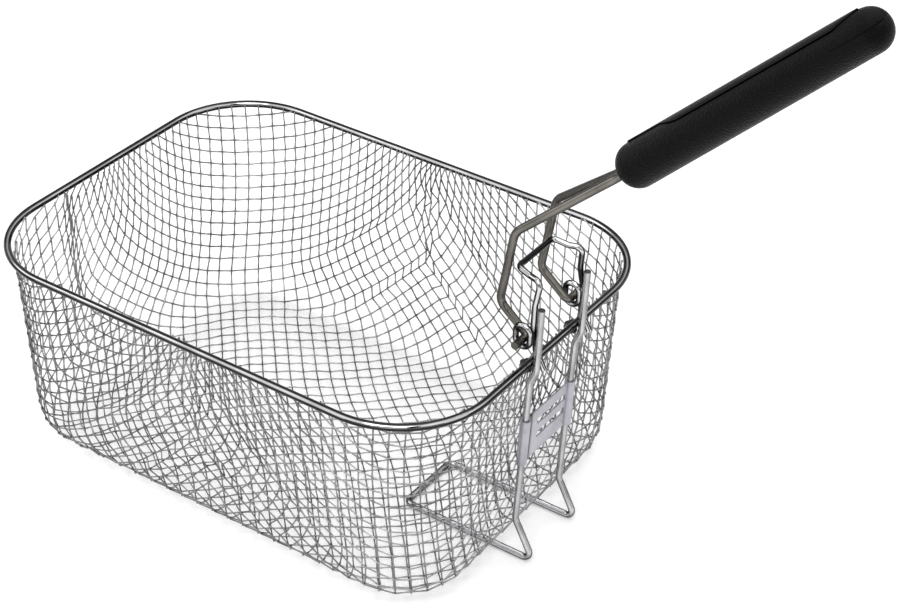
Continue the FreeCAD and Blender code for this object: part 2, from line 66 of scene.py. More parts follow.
@dataclass(frozen=True)
class Finish:
    """One surface finish.

    Args:
        name: name of the material.
        colour: sRGB colour as a hex word.
        coat: kind of surface.
        roughness: roughness of the surface.
        grain: depth of the fine bumps, in metres.
        grain_scale: bumps per metre.
        mottle: share by which the colour varies.
        shade: brightness of the colour where the surface turns away, a painted dark reflection for wire that
            mirrors a dark room.
        lit: where the painted bright middle ends, as 1 less the cosine to the eye.
        dark: where the painted dark side is full, likewise.
        gloss: specular level.
        fold: distance of the painted shade of a fold from the middle plane, on the side of -Y, in metres.
        fold_reach: half the width of the painted fold shade, in metres.
        low: height under which the sides get a darker painted reflection, in metres.
        low_shade: brightness of the painted dark sides under that height.
        ring: whether the wire lies flat, so that its painted bright middle keeps one width all round.
    """

    name: str
    colour: str
    coat: Coat
    roughness: float
    grain: float = 0.0
    grain_scale: float = 900.0
    mottle: float = 0.0
    shade: float = 1.0
    lit: float = 0.06
    dark: float = 0.3
    gloss: float = 0.5
    fold: float = 0.0
    fold_reach: float = 0.001
    low: float = 0.0
    low_shade: float = 1.0
    ring: bool = False


# The shade, lit, dark and ring values paint a dark reflection with a bright middle into the metals' colour.
RIM = Finish("rim_chrome", "e2e2e3", Coat.METAL, 0.12, mottle=0.3, shade=0.03, lit=0.012, dark=0.095, ring=True)
MESH = Finish("mesh_wire", "aaaaac", Coat.METAL, 0.24, mottle=0.5, shade=0.36, lit=0.12, dark=0.65)
# The frame's low and low_shade paint a darker reflection on the sides of the hooks under the basket.
FRAME = Finish(
    "frame_chrome", "cacacc", Coat.METAL, 0.18, mottle=0.3, shade=0.4, lit=0.2, dark=0.5, low=-0.088,
    low_shade=0.02)
BAIL = Finish("bail_chrome", "dededf", Coat.METAL, 0.12, mottle=0.3, shade=0.03, lit=0.17, dark=0.3)
# The plate's dark roll silhouettes are painted shadow, and its fold band is painted crease shade.
PLATE = Finish(
    "plate_steel", "b6b4bc", Coat.METAL, 0.36, mottle=0.3, shade=0.1, lit=0.66, dark=0.9, fold=0.0146,
    fold_reach=0.0024)
FORK = Finish("fork_steel", "8a8680", Coat.METAL, 0.28, mottle=0.35, shade=0.16, lit=0.1, dark=0.5)
GRIP = Finish("grip_plastic", "040304", Coat.PLASTIC, 0.4, grain=0.0005, grain_scale=1100.0, gloss=0.09)
COVER = Finish("cover_plastic", "060506", Coat.PLASTIC, 0.4, grain=0.0003, grain_scale=900.0, gloss=0.16)
# Matt black of the strip under the cover's edges: painted shade of the groove round the cover.
GROOVE_SHADE = Finish("grip_groove_shade", "010101", Coat.MATT, 0.9)
WELD = Finish("weld_bead", "3a3937", Coat.METAL, 0.42, grain=0.0006, grain_scale=700.0)
CUT = Finish("cut_end", "4c4a47", Coat.METAL, 0.5)
CARD = Finish("dark_card", "141414", Coat.MATT, 0.9)
FLOOR = Finish("studio_floor", "ffffff", Coat.MATT, 0.9)


def linear(hex_word: str) -> tuple[float, float, float, float]:
    """Turn an sRGB hex word into linear RGBA.

    Args:
        hex_word: six hex digits.

    Returns:
        The linear colour with alpha 1.
    """
    parts = [int(hex_word[i:i + 2], 16) / 255 for i in (0, 2, 4)]
    lin = [c / 12.92 if c <= 0.04045 else ((c + 0.055) / 1.055) ** 2.4 for c in parts]
    return (lin[0], lin[1], lin[2], 1.0)


def add_node(tree: bpy.types.NodeTree, kind: str, inputs: dict | None = None, **props) -> bpy.types.Node:
    """Add one shader node.

    Args:
        tree: the node tree.
        kind: the node's type name.
        inputs: socket name to a value or to another node's output socket.
        props: attributes of the node.

    Returns:
        The new node.
    """
    node = tree.nodes.new(kind)
    for key, value in props.items():
        setattr(node, key, value)
    for key, value in (inputs or {}).items():
        if isinstance(value, bpy.types.NodeSocket):
            tree.links.new(value, node.inputs[key])
        else:
            node.inputs[key].default_value = value
    return node


def side_on(tree: bpy.types.NodeTree) -> bpy.types.NodeSocket:
    """Measure how far the surface of a flat-lying round wire turns away, round the wire alone, for its painted
    reflection.

    Args:
        tree: the node tree.

    Returns:
        A socket with 1 less the cosine of the turn, a little more on the stretches seen end on.
    """
    shape = add_node(tree, "ShaderNodeNewGeometry")
    across = add_node(
        tree, "ShaderNodeVectorMath", {0: (0.0, 0.0, 1.0), 1: shape.outputs["Normal"]},
        operation="CROSS_PRODUCT")
    along = add_node(tree, "ShaderNodeVectorMath", {0: across.outputs[0]}, operation="NORMALIZE")
    drift = add_node(
        tree, "ShaderNodeVectorMath", {0: along.outputs[0], 1: shape.outputs["Incoming"]},
        operation="DOT_PRODUCT")
    square = add_node(
        tree, "ShaderNodeMath", {0: drift.outputs["Value"], 1: drift.outputs["Value"]}, operation="MULTIPLY")
    rest = add_node(tree, "ShaderNodeMath", {0: 1.0, 1: square.outputs[0]}, operation="SUBTRACT")
    full = add_node(tree, "ShaderNodeMath", {0: rest.outputs[0], 1: 0.5}, operation="POWER")
    meet = add_node(
        tree, "ShaderNodeVectorMath", {0: shape.outputs["Normal"], 1: shape.outputs["Incoming"]},
        operation="DOT_PRODUCT")
    part = add_node(tree, "ShaderNodeMath", {0: meet.outputs["Value"], 1: full.outputs[0]}, operation="DIVIDE")
    away = add_node(tree, "ShaderNodeMath", {0: 1.0, 1: part.outputs[0]}, operation="SUBTRACT")
    slant = add_node(
        tree, "ShaderNodeMapRange",
        {"Value": square.outputs[0], "From Min": 0.25, "From Max": 0.45, "To Min": 0.0, "To Max": 0.055})
    return add_node(tree, "ShaderNodeMath", {0: away.outputs[0], 1: slant.outputs["Result"]}).outputs[0]


def make_material(finish: Finish) -> bpy.types.Material:
    """Build the material of a finish.

    Args:
        finish: the finish.

    Returns:
        The material.
    """
    material = bpy.data.materials.new(finish.name)
    material.use_nodes = True
    tree = material.node_tree
    shader = tree.nodes["Principled BSDF"]
    shader.inputs["Base Color"].default_value = linear(finish.colour)
    shader.inputs["Roughness"].default_value = finish.roughness
    if finish.coat is Coat.METAL:
        shader.inputs["Metallic"].default_value = 1.0
    if finish.coat is Coat.MATT:
        shader.inputs["Specular IOR Level"].default_value = 0.0
    if finish.coat is Coat.PLASTIC:
        shader.inputs["Specular IOR Level"].default_value = finish.gloss
    place = add_node(tree, "ShaderNodeTexCoord")
    mottle_and_painted_shade = None
    if finish.mottle:
        noise = add_node(
            tree, "ShaderNodeTexNoise", {"Vector": place.outputs["Object"], "Scale": 60.0, "Detail": 3.0})
        spread = add_node(
            tree, "ShaderNodeMapRange",
            {"Value": noise.outputs["Fac"], "From Min": 0.3, "From Max": 0.7,
             "To Min": finish.roughness * 0.75, "To Max": finish.roughness * 1.35})
        tree.links.new(spread.outputs["Result"], shader.inputs["Roughness"])
        mottle_and_painted_shade = add_node(
            tree, "ShaderNodeMapRange",
            {"Value": noise.outputs["Fac"], "From Min": 0.35, "From Max": 0.6,
             "To Min": 1.0 - finish.mottle, "To Max": 1.0}).outputs["Result"]
    # Painted reflection: the colour falls from a painted bright middle to painted dark sides as the surface
    # turns from the eye.
    if finish.shade < 1.0:
        turned = side_on(tree) if finish.ring else add_node(
            tree, "ShaderNodeLayerWeight", {"Blend": 0.5}).outputs["Facing"]
        fall = add_node(
            tree, "ShaderNodeMapRange",
            {"Value": turned, "From Min": finish.lit, "From Max": finish.dark,
             "To Min": 1.0, "To Max": finish.shade})
        # Painted dark reflection on the sides below the low height, for the frame's hooks.
        if finish.low:
            split = add_node(tree, "ShaderNodeSeparateXYZ", {0: place.outputs["Object"]})
            drop = add_node(
                tree, "ShaderNodeMapRange",
                {"Value": split.outputs["Z"], "From Min": finish.low - 0.004, "From Max": finish.low,
                 "To Min": finish.low_shade, "To Max": finish.shade})
            tree.links.new(drop.outputs["Result"], fall.inputs["To Max"])
        fall = fall.outputs["Result"]
        if mottle_and_painted_shade:
            mottle_and_painted_shade = add_node(
                tree, "ShaderNodeMath", {0: mottle_and_painted_shade, 1: fall}, operation="MULTIPLY").outputs[0]
        else:
            mottle_and_painted_shade = fall
    # Painted shade of the crease beside the plate's roll: a dark band at the fold's distance from the middle
    # plane.
    if finish.fold:
        split = add_node(tree, "ShaderNodeSeparateXYZ", {0: place.outputs["Object"]})
        side = add_node(tree, "ShaderNodeMath", {0: split.outputs["Y"], 1: -1.0}, operation="MULTIPLY")
        off = add_node(tree, "ShaderNodeMath", {0: side.outputs[0], 1: finish.fold}, operation="SUBTRACT")
        gap = add_node(tree, "ShaderNodeMath", {0: off.outputs[0]}, operation="ABSOLUTE")
        painted_crease_shade = add_node(
            tree, "ShaderNodeMapRange",
            {"Value": gap.outputs[0], "From Min": finish.fold_reach * 0.25, "From Max": finish.fold_reach,
             "To Min": 0.12, "To Max": 1.0}).outputs["Result"]
        if mottle_and_painted_shade:
            mottle_and_painted_shade = add_node(
                tree, "ShaderNodeMath", {0: mottle_and_painted_shade, 1: painted_crease_shade}, operation="MULTIPLY").outputs[0]
        else:
            mottle_and_painted_shade = painted_crease_shade
    # The random mottle and the painted reflection and shade scale the colour.
    if mottle_and_painted_shade:
        mottled_shaded_colour = add_node(
            tree, "ShaderNodeVectorMath", {0: linear(finish.colour)[:3], "Scale": mottle_and_painted_shade}, operation="SCALE")
        tree.links.new(mottled_shaded_colour.outputs[0], shader.inputs["Base Color"])
    if finish.grain:
        noise = add_node(
            tree, "ShaderNodeTexNoise",
            {"Vector": place.outputs["Object"], "Scale": finish.grain_scale, "Detail": 2.0, "Roughness": 0.6})
        bump = add_node(
            tree, "ShaderNodeBump",
            {"Height": noise.outputs["Fac"], "Strength": 1.0, "Distance": finish.grain})
        tree.links.new(bump.outputs["Normal"], shader.inputs["Normal"])
    return material


@dataclass
class Studio:
    """Camera, floor, lamps and world.

    Args:
        azimuth: camera's azimuth in degrees; 0 looks along +Y.
        elevation: camera's elevation in degrees.
        roll: camera's roll in degrees.
        distance: from the origin to the camera along its axis, in metres.
        shift: where the origin lies beside the camera's axis, in metres.
        focal: lens in mm on a sensor 36 mm wide.
        floor_z: height of the floor.
        floor_size: half the side of the floor, in metres.
        floor_lift: strength by which the floor is lifted to white in the picture and in mirrors.
        card_count: dark cards round the set.
        card_width: width of a card.
        card_height: height of a card.
        card_lift: gap between the floor and a card.
        card_reach: from the origin to a card.
        wall_size: side of the dark card behind the camera.
        room_low: grey of the room near the ground.
        room_high: grey of the room overhead.
        room_strength: strength of the room's light.
    """

    azimuth: float = 33.85
    elevation: float = 34.43
    roll: float = 1.35
    distance: float = 0.99228
    shift: tuple[float, float] = (-0.06197, 0.02633)
    focal: float = 85.25
    floor_z: float = -0.1107
    card_count: int = 6
    card_width: float = 1.9
    card_height: float = 1.0
    card_lift: float = 0.12
    card_reach: float = 3.0
    wall_size: float = 2.0
    floor_size: float = 6.0
    floor_lift: float = 0.15
    room_low: float = 0.12
    room_high: float = 0.75
    room_strength: float = 0.9

    def camera(self) -> bpy.types.Object:
        """Place the camera.

        Returns:
            The camera object.
        """
        az, el, roll = (math.radians(a) for a in (self.azimuth, self.elevation, self.roll))
        back = Vector((math.sin(az) * math.cos(el), -math.cos(az) * math.cos(el), math.sin(el)))
        flat = Vector((math.cos(az), math.sin(az), 0.0))
        rise = back.cross(flat)
        right = flat * math.cos(roll) + rise * math.sin(roll)
        up = rise * math.cos(roll) - flat * math.sin(roll)
        centre = back * self.distance - right * self.shift[0] - up * self.shift[1]
        data = bpy.data.cameras.new("camera")
        data.lens = self.focal
        data.sensor_width = 36.0
        data.sensor_fit = "HORIZONTAL"
        data.clip_start = 0.01
        data.clip_end = 50.0
        cam = bpy.data.objects.new("camera", data)
        bpy.context.scene.collection.objects.link(cam)
        turn = Matrix((right, up, back)).transposed().to_4x4()
        cam.matrix_world = Matrix.Translation(centre) @ turn
        bpy.context.scene.camera = cam
        return cam

    def floor(self) -> None:
        """Lay the pale floor."""
        mesh = bpy.data.meshes.new("studio_floor")
        shape = bmesh.new()
        bmesh.ops.create_grid(shape, x_segments=1, y_segments=1, size=self.floor_size)
        bmesh.ops.translate(shape, verts=shape.verts, vec=(0, 0, self.floor_z))
        shape.to_mesh(mesh)
        shape.free()
        obj = bpy.data.objects.new("studio_floor", mesh)
        bpy.context.scene.collection.objects.link(obj)
        material = make_material(FLOOR)
        mesh.materials.append(material)
        tree = material.node_tree
        shader = tree.nodes["Principled BSDF"]
        path = add_node(tree, "ShaderNodeLightPath")
        clear = add_node(
            tree, "ShaderNodeMath",
            {0: path.outputs["Is Glossy Ray"], 1: path.outputs["Is Transmission Ray"]}, operation="MAXIMUM")
        seen = add_node(
            tree, "ShaderNodeMath",
            {0: path.outputs["Is Camera Ray"], 1: clear.outputs[0]}, operation="MAXIMUM")
        lift = add_node(tree, "ShaderNodeMath", {0: seen.outputs[0], 1: self.floor_lift}, operation="MULTIPLY")
        shader.inputs["Emission Color"].default_value = (1, 1, 1, 1)
        tree.links.new(lift.outputs[0], shader.inputs["Emission Strength"])

    def mirrored_only(self, card: bpy.types.Object) -> None:
        """Let a card show in the metal alone, so that it darkens neither floor nor picture.

        Args:
            card: the card.
        """
        card.visible_camera = False
        card.visible_diffuse = False
        card.visible_shadow = False
        card.visible_transmission = False

    def cards(self) -> None:
        """Stand dark cards round the set, out of the picture, for the metal to mirror."""
        material = make_material(CARD)
        for index in range(self.card_count):
            turn = 2 * math.pi * index / self.card_count
            mesh = bpy.data.meshes.new(f"dark_card_{index}")
            shape = bmesh.new()
            bmesh.ops.create_grid(shape, x_segments=1, y_segments=1, size=0.5)
            bmesh.ops.scale(shape, verts=shape.verts, vec=(self.card_width, self.card_height, 1.0))
            bmesh.ops.rotate(
                shape, verts=shape.verts, cent=(0, 0, 0), matrix=Matrix.Rotation(math.pi / 2, 3, "X"))
            middle = self.floor_z + self.card_lift + self.card_height / 2
            bmesh.ops.translate(shape, verts=shape.verts, vec=(0, self.card_reach, middle))
            bmesh.ops.rotate(
                shape, verts=shape.verts, cent=(0, 0, 0), matrix=Matrix.Rotation(turn, 3, "Z"))
            shape.to_mesh(mesh)
            shape.free()
            mesh.materials.append(material)
            obj = bpy.data.objects.new(f"dark_card_{index}", mesh)
            bpy.context.scene.collection.objects.link(obj)
            self.mirrored_only(obj)

    def dark_wall(self) -> None:
        """Stand one dark card behind the camera, for the metal to mirror."""
        mesh = bpy.data.meshes.new("dark_wall")
        shape = bmesh.new()
        bmesh.ops.create_grid(shape, x_segments=1, y_segments=1, size=0.5)
        bmesh.ops.scale(shape, verts=shape.verts, vec=(self.wall_size, self.wall_size, 1.0))
        az, el = math.radians(self.azimuth), math.radians(self.elevation)
        back = Vector((math.sin(az) * math.cos(el), -math.cos(az) * math.cos(el), math.sin(el)))
        turn = back.to_track_quat("Z", "Y").to_matrix().to_4x4()
        bmesh.ops.transform(shape, matrix=Matrix.Translation(back * self.card_reach) @ turn, verts=shape.verts)
        shape.to_mesh(mesh)
        shape.free()
        mesh.materials.append(make_material(CARD))
        obj = bpy.data.objects.new("dark_wall", mesh)
        bpy.context.scene.collection.objects.link(obj)
        self.mirrored_only(obj)

    def lamp(self, name: str, place: tuple, aim: tuple, size: tuple[float, float], power: float) -> None:
        """Hang one soft lamp.

        Args:
            name: name of the lamp.
            place: where it hangs.
            aim: the point it faces.
            size: width and height.
            power: watts.
        """
        data = bpy.data.lights.new(name, "AREA")
        data.shape = "RECTANGLE"
        data.size, data.size_y = size
        data.energy = power
        obj = bpy.data.objects.new(name, data)
        bpy.context.scene.collection.objects.link(obj)
        away = Vector(place) - Vector(aim)
        obj.rotation_euler = away.to_track_quat("Z", "Y").to_euler()
        obj.location = place

    def world(self) -> None:
        """Set the world: white to the camera and in mirrors, a soft grey room to everything else."""
        world = bpy.data.worlds.new("studio")
        bpy.context.scene.world = world
        world.use_nodes = True
        tree = world.node_tree
        tree.nodes.clear()
        path = add_node(tree, "ShaderNodeLightPath")
        coord = add_node(tree, "ShaderNodeTexCoord")
        split = add_node(tree, "ShaderNodeSeparateXYZ", {0: coord.outputs["Generated"]})
        ramp = add_node(tree, "ShaderNodeValToRGB", {"Fac": split.outputs["Z"]})
        ramp.color_ramp.elements[0].position = 0.0
        ramp.color_ramp.elements[0].color = (self.room_low, self.room_low, self.room_low, 1)
        ramp.color_ramp.elements[1].position = 0.7
        ramp.color_ramp.elements[1].color = (self.room_high, self.room_high, self.room_high, 1)
        room = add_node(
            tree, "ShaderNodeBackground",
            {"Color": ramp.outputs["Color"], "Strength": self.room_strength})
        white = add_node(tree, "ShaderNodeBackground", {"Color": (1, 1, 1, 1), "Strength": 1.0})
        clear = add_node(
            tree, "ShaderNodeMath",
            {0: path.outputs["Is Glossy Ray"], 1: path.outputs["Is Transmission Ray"]}, operation="MAXIMUM")
        seen = add_node(
            tree, "ShaderNodeMath",
            {0: path.outputs["Is Camera Ray"], 1: clear.outputs[0]}, operation="MAXIMUM")
        mix = add_node(
            tree, "ShaderNodeMixShader",
            {0: seen.outputs[0], 1: room.outputs[0], 2: white.outputs[0]})
        add_node(tree, "ShaderNodeOutputWorld", {"Surface": mix.outputs[0]})

    def build(self) -> None:
        """Build the whole studio."""
        self.camera()
        self.floor()
        self.cards()
        self.world()
        self.dark_wall()
        self.lamp("key", (0.5, -1.2, 1.6), (0, 0, 0), (1.2, 1.2), 16.0)
        self.lamp("fill", (-1.4, -0.6, 0.9), (0, 0, 0), (1.0, 1.0), 6.0)
        self.lamp("top", (0.0, 0.6, 1.8), (0, 0, 0), (1.6, 1.0), 10.0)
        scene = bpy.context.scene
        scene.view_settings.view_transform = "Standard"
        scene.render.resolution_x = 900
        scene.render.resolution_y = 608
        log.info("studio built")


@dataclass
class WovenBowl:
    """The bowl's woven wire: one square net on the bias, drawn over the bowl's form.

    All sizes in mm, in the solids' frame.

    Args:
        pitch: from one wire to the next.
        wire: diameter of a wire.
        top: height at which the wires end, behind the rim.
        floor: height of the bowl's floor.
        half_top: half length and half width at the rim.
        half_floor: half length and half width at the floor.
        corner_top: corner radius at the rim.
        corner_floor: corner radius at the floor.
        bend: radius between walls and floor.
        rounds: rounds in which the net finds its length.
        spread: share of the corners' excess that goes to the walls.
        push: how strongly it crowds towards the middle of the long and of the short walls.
        climb: how the crowding grows with height.
        blank: height at which the cloth ends before it is trimmed.
        ease: how strongly a bent wire straightens.
        crinkle: half width of the buckled band on the long walls.
        crinkle_low: height at which that band starts.
        bunch: place of the bunched wires on the short walls, from the middle.
        bunch_reach: half width of the bunched band.
        bunch_share: share by which the wires close up there.
        knot: thickness of a wire at its crossings, as a share.
        slim: thickness of a wire between its crossings, as a share.
        nets: the net's places, normals and the crossings in use.
    """

    pitch: float = 6.95
    wire: float = 0.7
    top: float = 0.6
    floor: float = -106.2
    half_top: tuple[float, float] = (127.5, 94.0)
    half_floor: tuple[float, float] = (122.1, 87.0)
    corner_top: float = 42.5
    corner_floor: float = 33.4
    bend: float = 15.0
    rounds: int = 1500
    spread: float = 1.0
    push: tuple[float, float] = (2.1, 0.4)
    climb: float = 1.0
    blank: float = 16.0
    ease: float = 0.03
    crinkle: float = 10.0
    crinkle_low: float = -66.0
    bunch: float = 33.0
    bunch_reach: float = 16.0
    bunch_share: float = 0.72
    knot: float = 1.28
    slim: float = 0.94
    nets: dict = field(default_factory=dict)

    def profile(self, height: np.ndarray) -> tuple[np.ndarray, np.ndarray, np.ndarray]:
        """Core rectangle and corner radius of the wall at some heights.

        Args:
            height: z of each point.

        Returns:
            Core half length, core half width and corner radius.
        """
        share = np.clip((height - self.floor) / -self.floor, 0.0, 1.2)
        corner = self.corner_floor + (self.corner_top - self.corner_floor) * share
        long = self.half_floor[0] + (self.half_top[0] - self.half_floor[0]) * share
        wide = self.half_floor[1] + (self.half_top[1] - self.half_floor[1]) * share
        return long - corner, wide - corner, corner

    def settle(self, points: np.ndarray) -> tuple[np.ndarray, np.ndarray]:
        """Move points onto the bowl's middle surface.

        Args:
            points: n x 3 places.

        Returns:
            The places on the surface and its outward normals.
        """
        core_x, core_y, corner = self.profile(points[:, 2])
        qx = np.abs(points[:, 0]) - core_x
        qy = np.abs(points[:, 1]) - core_y
        outx = np.maximum(qx, 0.0)
        outy = np.maximum(qy, 0.0)
        reach = np.hypot(outx, outy)
        inside = reach < 1e-6
        reach_safe = np.where(inside, 1.0, reach)
        dirx = np.sign(points[:, 0]) * outx / reach_safe
        diry = np.sign(points[:, 1]) * outy / reach_safe
        rho = np.where(inside, np.maximum(qx, qy), reach)
        lean = (self.corner_top - self.corner_floor) / -self.floor * 0.62
        radius = self.bend
        base = self.corner_floor
        wall_n = np.array([math.cos(math.atan(lean)), -math.sin(math.atan(lean))])
        bend_z = self.floor + radius
        bend_rho = base - radius * (1.0 - lean)
        rel_rho = rho - bend_rho
        rel_z = points[:, 2] - bend_z
        on_wall = (rel_z > 0.0) & (rel_rho > -radius)
        on_floor = ~on_wall & (rel_rho <= 0.0)
        length = np.maximum(np.hypot(rel_rho, rel_z), 1e-6)
        arc_rho = bend_rho + radius * rel_rho / length
        arc_z = bend_z + radius * rel_z / length
        new_rho = np.where(on_wall, corner, np.where(on_floor, rho, arc_rho))
        new_z = np.where(on_wall, points[:, 2], np.where(on_floor, self.floor, arc_z))
        norm_rho = np.where(on_wall, wall_n[0], np.where(on_floor, 0.0, rel_rho / length))
        norm_z = np.where(on_wall, wall_n[1], np.where(on_floor, -1.0, rel_z / length))
        step = new_rho - rho
        placed = points.copy()
        placed[:, 0] += dirx * step
        placed[:, 1] += diry * step
        placed[:, 2] = new_z
        normals = np.stack([dirx * norm_rho, diry * norm_rho, norm_z], axis=1)
        return placed, normals

    def lay(self) -> tuple[np.ndarray, np.ndarray, np.ndarray]:
        """Lay the flat net over the bowl, with the corners' excess led to the middles of the walls.

        Returns:
            x, y and z of each crossing.
        """
        pitch = self.pitch
        count = int(260 / pitch)
        steps = np.arange(-count, count + 1)
        warp, weft = np.meshgrid(steps, steps, indexing="ij")
        flat_x = (warp - weft) * pitch / math.sqrt(2)
        flat_y = (warp + weft) * pitch / math.sqrt(2)
        core_x = self.half_floor[0] - self.corner_floor
        core_y = self.half_floor[1] - self.corner_floor
        qx = np.abs(flat_x) - core_x
        qy = np.abs(flat_y) - core_y
        outx = np.maximum(qx, 0.0)
        outy = np.maximum(qy, 0.0)
        reach = np.hypot(outx, outy)
        inner = self.corner_floor - self.bend
        arc = math.pi / 2 * self.bend
        rho = np.minimum(reach, inner)
        turn = np.clip((reach - inner) / self.bend, 0.0, math.pi / 2)
        rise = np.maximum(reach - inner - arc, 0.0)
        rho = rho + self.bend * np.sin(turn)
        z = self.floor + self.bend * (1 - np.cos(turn)) + rise
        quarter = math.pi / 4
        in_corner = (qx > 0) & (qy > 0)
        along = np.where(
            in_corner, reach * (np.arctan2(outy, np.maximum(outx, 1e-9)) - quarter),
            np.where(qy > qx, reach * quarter - qx, qy - reach * quarter))
        side = np.where(along > 0, core_x, core_y)
        wall_run = rho * quarter + side
        flat_run = reach * quarter + side
        height = np.clip((reach - inner - arc) / -self.floor, 0.0, 1.0)
        crowd = 1.0 + (flat_run / wall_run - 1.0) * height ** self.climb * np.where(along > 0, *self.push)
        part = np.clip(np.abs(along) / flat_run, 0.0, 1.0)
        even = np.sign(along) * wall_run * (1.0 - (1.0 - part) ** crowd)
        over = np.abs(along) - reach * quarter
        near = np.where(
            over < 0, along * rho / np.maximum(reach, 1e-6),
            np.sign(along) * (rho * quarter + over))
        share = np.clip((reach - inner) / 30.0, 0.0, 1.0) * self.spread
        path = near + (even - near) * share
        turned = np.clip(path / np.maximum(rho, 1e-6), -quarter, quarter) + quarter
        past_long = np.maximum(path - rho * quarter, 0.0)
        past_short = np.maximum(-path - rho * quarter, 0.0)
        flat_part = reach < 1e-6
        wall_x = core_x + rho * np.cos(turned) - past_long
        wall_y = core_y + rho * np.sin(turned) - past_short
        x = np.sign(flat_x) * np.where(flat_part, np.abs(flat_x), wall_x)
        y = np.sign(flat_y) * np.where(flat_part, np.abs(flat_y), wall_y)
        return x, y, z

    def draw(self) -> None:
        """Draw the net over the bowl and keep its places."""
        x, y, z = self.lay()
        alive = z < self.blank
        shape = x.shape
        points = np.stack([x.ravel(), y.ravel(), z.ravel()], axis=1)
        points, _normals = self.settle(points)
        mask = alive.ravel()
        points, pairs = self.relax(points, mask, np.arange(points.shape[0]).reshape(shape))
        points = self.crumple(points)
        _points, normals = self.settle(points)
        span = points[pairs[:, 0]] - points[pairs[:, 1]]
        length = np.linalg.norm(span, axis=1)
        log.info("net relaxed: mean edge %.3f, spread %.3f", float(length.mean()), float(length.std()))
        self.nets = {
            "points": points.reshape(*shape, 3),
            "normals": normals.reshape(*shape, 3),
            "alive": mask.reshape(shape),
        }

    def relax(
            self, points: np.ndarray, mask: np.ndarray,
            grid: np.ndarray) -> tuple[np.ndarray, np.ndarray]:
        """Let the wires find their length on the bowl.

        Args:
            points: n x 3 places.
            mask: which crossings the cloth has.
            grid: number of each crossing, laid out as the net.

        Returns:
            The places and the pairs of neighbours.
        """
        along = [(grid[:-1, :], grid[1:, :]), (grid[:, :-1], grid[:, 1:])]
        pairs = np.concatenate([np.stack([a.ravel(), b.ravel()], axis=1) for a, b in along])
        pairs = pairs[mask[pairs[:, 0]] & mask[pairs[:, 1]]]
        straight = [(grid[:-2, :], grid[2:, :]), (grid[:, :-2], grid[:, 2:])]
        middles = [grid[1:-1, :], grid[:, 1:-1]]
        trios = np.concatenate([
            np.stack([a.ravel(), m.ravel(), b.ravel()], axis=1)
            for (a, b), m in zip(straight, middles)])
        trios = trios[mask[trios].all(axis=1)]
        load = np.bincount(pairs.ravel(), minlength=points.shape[0]).astype(float)
        load = np.maximum(load, 1.0)[:, None]
        weight = np.bincount(trios[:, 1], minlength=points.shape[0]).astype(float)
        weight = np.maximum(weight, 1.0)[:, None]
        for turn_no in range(self.rounds):
            first = points[pairs[:, 0]]
            second = points[pairs[:, 1]]
            span = second - first
            length = np.maximum(np.linalg.norm(span, axis=1, keepdims=True), 1e-6)
            give = span * (1.0 - self.pitch / length) * 0.5
            move = np.zeros_like(points)
            np.add.at(move, pairs[:, 0], give)
            np.add.at(move, pairs[:, 1], -give)
            bow = (points[trios[:, 0]] + points[trios[:, 2]]) / 2 - points[trios[:, 1]]
            ease = np.zeros_like(points)
            np.add.at(ease, trios[:, 1], bow)
            points = points + move / load * 1.6 + ease / weight * self.ease
            points, _normals = self.settle(points)
        return points, pairs

    def crumple(self, points: np.ndarray) -> np.ndarray:
        """Crowd and buckle the wires high on the long walls, and bunch them on the short walls.

        Args:
            points: n x 3 places.

        Returns:
            The moved places.
        """
        x, y, z = points.T
        near = np.exp(-((x / self.crinkle) ** 2))
        tall = np.clip((z - self.crinkle_low) / 22.0, 0.0, 1.0) * (np.abs(y) > 70.0)
        amount = near * tall
        wave = np.sin(z * 0.93 + x * 0.71) * np.cos(z * 0.37 - x * 1.13)
        moved = points.copy()
        moved[:, 0] = x * (1.0 - 0.42 * amount) + 1.5 * amount * np.sin(z * 0.61 + np.sign(y))
        moved[:, 1] = y - np.sign(y) * amount * (1.1 + 1.1 * wave)
        moved[:, 2] = z + 1.2 * amount * np.sin(x * 1.7 + z * 0.45)
        end = np.sign(x)
        across = y - end * self.bunch
        high = np.clip((z + 80.0) / 25.0, 0.0, 1.0) * (np.abs(x) > 100.0)
        pull = np.exp(-((across / self.bunch_reach) ** 2)) * high
        moved[:, 1] = moved[:, 1] - self.bunch_share * across * pull
        moved[:, 0] = moved[:, 0] - end * pull * (0.5 + 0.5 * np.sin(z * 0.8))
        return moved

    def strands(self) -> list[np.ndarray]:
        """Follow each wire through its crossings.

        Returns:
            One array of places for each wire.
        """
        points = self.nets["points"]
        normals = self.nets["normals"]
        alive = self.nets["alive"]
        count = points.shape[0]
        over = self.wire * 0.5
        parity = (np.add.outer(np.arange(count), np.arange(count)) % 2) * 2 - 1
        found = []
        for axis in (0, 1):
            side = parity * (1 if axis == 0 else -1)
            lifted = points + normals * (side * over)[..., None]
            for row in range(count):
                line = lifted[:, row] if axis == 0 else lifted[row, :]
                live = alive[:, row] if axis == 0 else alive[row, :]
                run: list[np.ndarray] = []
                for place, lives in zip(line, live):
                    if lives and place[2] < self.top:
                        run.append(place)
                    elif run:
                        if lives:
                            run.append(self.trim(run[-1], place))
                        if len(run) > 2:
                            found.append(np.array(run))
                        run = []
                if len(run) > 2:
                    found.append(np.array(run))
        return found

    def trim(self, low: np.ndarray, high: np.ndarray) -> np.ndarray:
        """Cut a run of wire at the rim.

        Args:
            low: the last place under the rim.
            high: the next place above it.

        Returns:
            The place at the rim's height.
        """
        share = (self.top - low[2]) / max(high[2] - low[2], 1e-6)
        return low + (high - low) * min(max(share, 0.0), 1.0)

